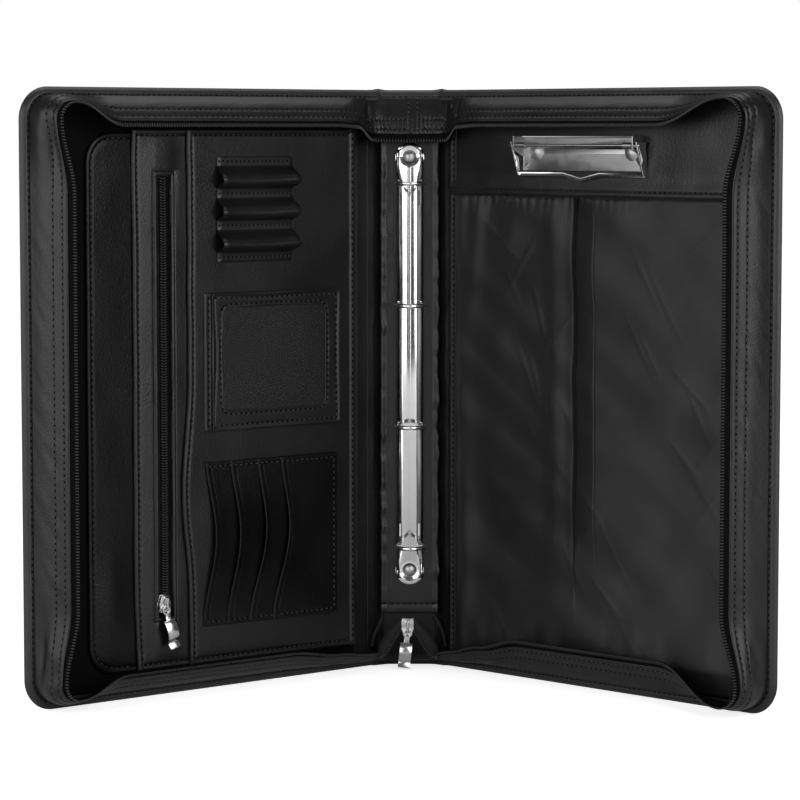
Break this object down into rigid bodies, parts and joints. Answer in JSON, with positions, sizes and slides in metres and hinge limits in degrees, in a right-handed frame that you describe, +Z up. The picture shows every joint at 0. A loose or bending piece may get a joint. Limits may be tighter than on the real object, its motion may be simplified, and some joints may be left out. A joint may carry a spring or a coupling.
{
  "type": "portfolio case",
  "caption": "Zip-round leather portfolio case standing open like a book, with a ring binder on its spine, a layered organiser and a pad clip.",
  "frame": {"origin": "centre of the standing case's footprint, on the surface it stands on", "axes": "+X towards the pad cover, +Y from the covers' free edges towards the spine, +Z up"},
  "size_m": [0.4606, 0.2164, 0.382],
  "materials": {
    "leather": "fine grain, soft sheen",
    "lining_cloth": "satin weave",
    "zip_tape": "herringbone tape",
    "zip_teeth": "nylon coil",
    "foam": "soft foam sheet",
    "grey_board": "dense grey board",
    "clear_film": "clear vinyl film",
    "bright_steel": "bright nickel plate",
    "spring_steel": "plain wire",
    "zip_metal": "dull nickel plate"
  },
  "bodies": {
    "spine": {"spine_leather": "leather", "spine_board": "grey_board", "spine_lining": "lining_cloth", "spine_bindings": "leather", "ring_strip": "leather", "ring_cover_plate": "bright_steel", "ring_rivets": "bright_steel", "upper_spine_gusset": "leather", "lower_spine_gusset": "leather", "spine_zip_tapes": "zip_tape", "spine_zip_teeth": "zip_teeth", "main_zip_slider": "zip_metal"},
    "left_rings": {"left_ring_blade": "bright_steel", "left_half_rings": "bright_steel"},
    "right_rings": {"right_ring_blade": "bright_steel", "right_half_rings": "bright_steel"},
    "main_puller": {"main_zip_puller": "zip_metal"},
    "left_strip": {"left_hinge_leather": "leather", "left_hinge_lining": "lining_cloth"},
    "right_strip": {"right_hinge_leather": "leather", "right_hinge_lining": "lining_cloth"},
    "pocket_slider": {"pocket_zip_slider": "zip_metal"},
    "pocket_puller": {"pocket_zip_puller": "zip_metal"},
    "clip_bail": {"clip_bail": "bright_steel"},
    "left_cover": {"card_panel": "leather", "card_slot_1": "leather", "card_slot_2": "leather", "card_slot_3": "leather", "card_slot_4": "leather", "document_pocket": "leather", "left_cover_binding": "leather", "left_cover_board": "grey_board", "left_cover_foam": "foam", "left_cover_leather": "leather", "left_cover_lining": "lining_cloth", "left_gusset": "leather", "left_zip_tape": "zip_tape", "left_zip_teeth": "zip_teeth", "organiser_edge": "leather", "pen_loops": "leather", "pocket_zip_coil": "zip_teeth", "pocket_zip_tape": "zip_tape", "window_pocket_back": "lining_cloth", "window_pocket_film": "clear_film", "window_pocket_frame": "leather", "zip_pocket_panel": "leather"},
    "right_cover": {"clip_base": "bright_steel", "clip_header": "leather", "clip_pivot_rod": "bright_steel", "clip_rivets": "bright_steel", "clip_springs": "spring_steel", "cloth_sleeve": "lining_cloth", "right_cover_binding": "leather", "right_cover_board": "grey_board", "right_cover_foam": "foam", "right_cover_leather": "leather", "right_cover_lining": "lining_cloth", "right_gusset": "leather", "right_zip_tape": "zip_tape", "right_zip_teeth": "zip_teeth"}
  },
  "joints": [
    {"name": "left_strip_fold", "type": "hinge", "parent": "spine", "child": "left_strip", "pos_m": [-0.01195, 0.10695, 0.191], "axis": [0, 0, 1], "range_deg": [-39, 6]},
    {"name": "left_cover_fold", "type": "hinge", "parent": "left_strip", "child": "left_cover", "pos_m": [-0.02904, 0.09311, 0.191], "axis": [0, 0, 1], "range_deg": [0, 45]},
    {"name": "right_strip_fold", "type": "hinge", "parent": "spine", "child": "right_strip", "pos_m": [0.02805, 0.10695, 0.191], "axis": [0, 0, -1], "range_deg": [-44, 1]},
    {"name": "right_cover_fold", "type": "hinge", "parent": "right_strip", "child": "right_cover", "pos_m": [0.04388, 0.09167, 0.191], "axis": [0, 0, -1], "range_deg": [0, 45]},
    {"name": "left_rings_open", "type": "hinge", "parent": "spine", "child": "left_rings", "pos_m": [-0.00055, 0.10115, 0.201], "axis": [0, 0, 1], "range_deg": [-18, 0]},
    {"name": "right_rings_open", "type": "hinge", "parent": "spine", "child": "right_rings", "pos_m": [0.01665, 0.10115, 0.201], "axis": [0, 0, 1], "range_deg": [0, 18]},
    {"name": "pocket_zip_travel", "type": "slide", "parent": "left_cover", "child": "pocket_slider", "axis": [0, 0, 1], "range_m": [0, 0.255]},
    {"name": "pocket_puller_swing", "type": "hinge", "parent": "pocket_slider", "child": "pocket_puller", "pos_m": [-0.14569, -0.01788, 0.05555], "axis": [-0.6293, 0.7771, 0], "range_deg": [-30, 45]},
    {"name": "main_puller_swing", "type": "hinge", "parent": "spine", "child": "main_puller", "pos_m": [0.00655, 0.086, 0.02405], "axis": [0, 1, 0], "range_deg": [-30, 20]},
    {"name": "clip_open", "type": "hinge", "parent": "right_cover", "child": "clip_bail", "pos_m": [0.11161, 0.00777, 0.346], "axis": [-0.7193, 0.6947, 0], "range_deg": [0, 40], "stiffness_Nm_per_rad": 0.05, "springref_deg": -28.65}
  ],
  "couplings": [
    {"joint": "right_rings_open", "follows": "left_rings_open", "ratio": -1}
  ]
}
